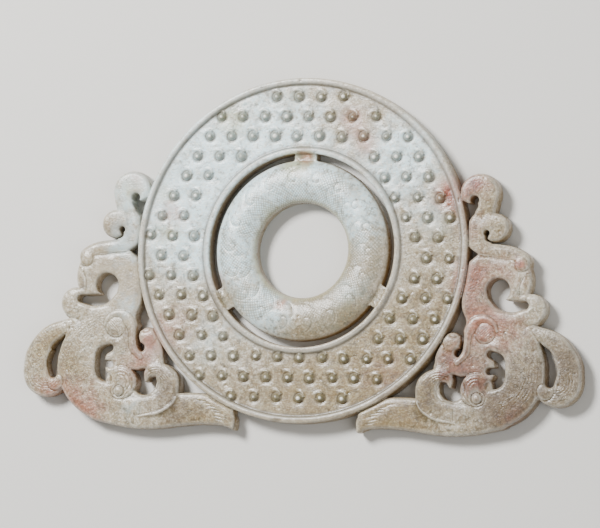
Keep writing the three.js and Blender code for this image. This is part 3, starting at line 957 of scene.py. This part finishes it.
def weathered_nephrite():
    """Nephrite cut on the wheel, polished, and long buried: a waxy gloss over clouded and stained stone."""
    material = bpy.data.materials.new("weathered_nephrite")
    material.use_nodes = True
    tree = material.node_tree
    tree.nodes.clear()
    place = add(tree, "TexCoord").outputs["Object"]
    in_mm = add(tree, "Mapping", {"Vector": place, "Scale": (1 / MM, 1 / MM, 1 / MM)}).outputs[0]
    cloud = add(tree, "TexNoise", {"Vector": in_mm, "Scale": 1 / CLOUD_SIZE, "Detail": 5}).outputs["Fac"]
    noise = {"Vector": in_mm, "Scale": 1 / MOTTLE_SIZE, "Detail": 5, "Roughness": 0.6}
    mottle = add(tree, "TexNoise", noise).outputs["Fac"]

    colour, finest_speck = specks(tree, in_mm, clouded_stone(tree, cloud, mottle))
    colour = wear_and_painted_light(tree, stains(tree, mottle, colour))
    hatch = ring_hatching(tree, place, cloud)
    strokes = hair_strokes(tree, mottle)
    for lines, (start, full, strength, shade) in ((hatch, HATCH_SHADE), (strokes, STROKE_SHADE)):
        share = add(tree, "MapRange", {0: lines, 1: start, 2: full, 4: strength}).outputs[0]
        colour = add(tree, "Mix", {0: share, 6: colour, 7: linear(shade)}, **IN_COLOUR).outputs[2]

    skin = add(tree, "Bump", {"Strength": 0.5, "Distance": 0.15 * MM, "Height": finest_speck}).outputs[0]
    incised = {0: hatch, 1: HATCH["depth"], 2: strokes}
    lines = add(tree, "Math", incised, operation="MULTIPLY_ADD").outputs[0]
    cuts = {"Strength": 0.6, "Distance": 0.05 * MM, "Height": lines, "Normal": skin}
    relief = add(tree, "Bump", cuts, invert=True).outputs[0]
    rough = add(tree, "MapRange", {0: mottle, 1: 0.3, 2: 0.7, 3: 0.24, 4: 0.4}).outputs[0]
    shader = add(tree, "BsdfPrincipled", {
        "Base Color": colour, "Roughness": rough, "Normal": relief, "IOR": 1.62,
        "Subsurface Weight": 0.12, "Subsurface Radius": (1.0, 0.8, 0.55), "Subsurface Scale": MM,
    })
    add(tree, "OutputMaterial", {"Surface": shader.outputs[0]})
    return material


# ---------------------------------------------------------------- the piece


def stone():
    mesh = sawn_blank()
    fit_outline(mesh)
    thicken(mesh)
    carve(mesh)
    mesh = spare_triangles(mesh)
    mark_surface(mesh)
    mesh.transform(Matrix.Translation((0, CENTRE_Y, 0)) @ Matrix.Scale(MM, 4))
    mesh.polygons.foreach_set("use_smooth", np.ones(len(mesh.polygons), bool))
    mesh.materials.clear()
    mesh.materials.append(weathered_nephrite())
    piece = bpy.data.objects.new("carved_bi_disc", mesh)
    bpy.context.scene.collection.objects.link(piece)
    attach(piece, "root")
    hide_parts(STONE)


# ---------------------------------------------------------------- floor, light and camera


def matt_paper():
    """Pale paper with no gloss, so that only the soft shadow of the stone shows on it."""
    material = bpy.data.materials.new("matt_paper")
    material.use_nodes = True
    shader = material.node_tree.nodes["Principled BSDF"]
    shader.inputs["Base Color"].default_value = linear("#d9d7d2")
    shader.inputs["Roughness"].default_value = 0.9
    return material


def floor():
    bm = bmesh.new()
    bmesh.ops.create_grid(bm, x_segments=1, y_segments=1, size=1.5)
    mesh = bpy.data.meshes.new("floor")
    bm.to_mesh(mesh)
    bm.free()
    mesh.materials.append(matt_paper())
    piece = bpy.data.objects.new("floor", mesh)
    bpy.context.scene.collection.objects.link(piece)


def soft_box(name, place, size, power):
    """A square lamp that faces the stone."""
    lamp = bpy.data.lights.new(name, "AREA")
    lamp.shape = "SQUARE"
    lamp.size = size
    lamp.energy = power
    holder = bpy.data.objects.new(name, lamp)
    holder.location = place
    holder.rotation_euler = (-Vector(place)).to_track_quat("-Z", "Y").to_euler()
    bpy.context.scene.collection.objects.link(holder)


def camera(aside, below, roll, distance, width, aim):
    """Looks down on the stone from `aside` degrees to its right and `below` degrees towards its foot."""
    direction = Vector((math.tan(math.radians(aside)), -math.tan(math.radians(below)), 1)).normalized()
    across = Vector((0, 1, 0)).cross(direction).normalized()
    turn = Matrix((across, direction.cross(across), direction)).transposed()
    lens = bpy.data.cameras.new("camera")
    lens.sensor_width = 36
    lens.lens = lens.sensor_width * distance / width
    holder = bpy.data.objects.new("camera", lens)
    holder.matrix_world = (
        Matrix.Translation(Vector(aim) + direction * distance)
        @ turn.to_4x4() @ Matrix.Rotation(math.radians(roll), 4, "Z"))
    bpy.context.scene.collection.objects.link(holder)
    bpy.context.scene.camera = holder


def surroundings(colour, strength):
    world = bpy.data.worlds.new("studio")
    world.use_nodes = True
    background = world.node_tree.nodes["Background"]
    background.inputs["Color"].default_value = linear(colour)
    background.inputs["Strength"].default_value = strength
    bpy.context.scene.world = world


stone()
floor()
soft_box("key", place=(-0.3, 0.3, 0.56), size=0.2, power=10.5)
soft_box("fill", place=(0.5, -0.2, 0.5), size=0.5, power=2)
surroundings("#eeede9", 0.35)
camera(aside=18.5, below=5, roll=2.3, distance=1.2, width=0.1507, aim=(-0.0005, -0.0023, 0.004))
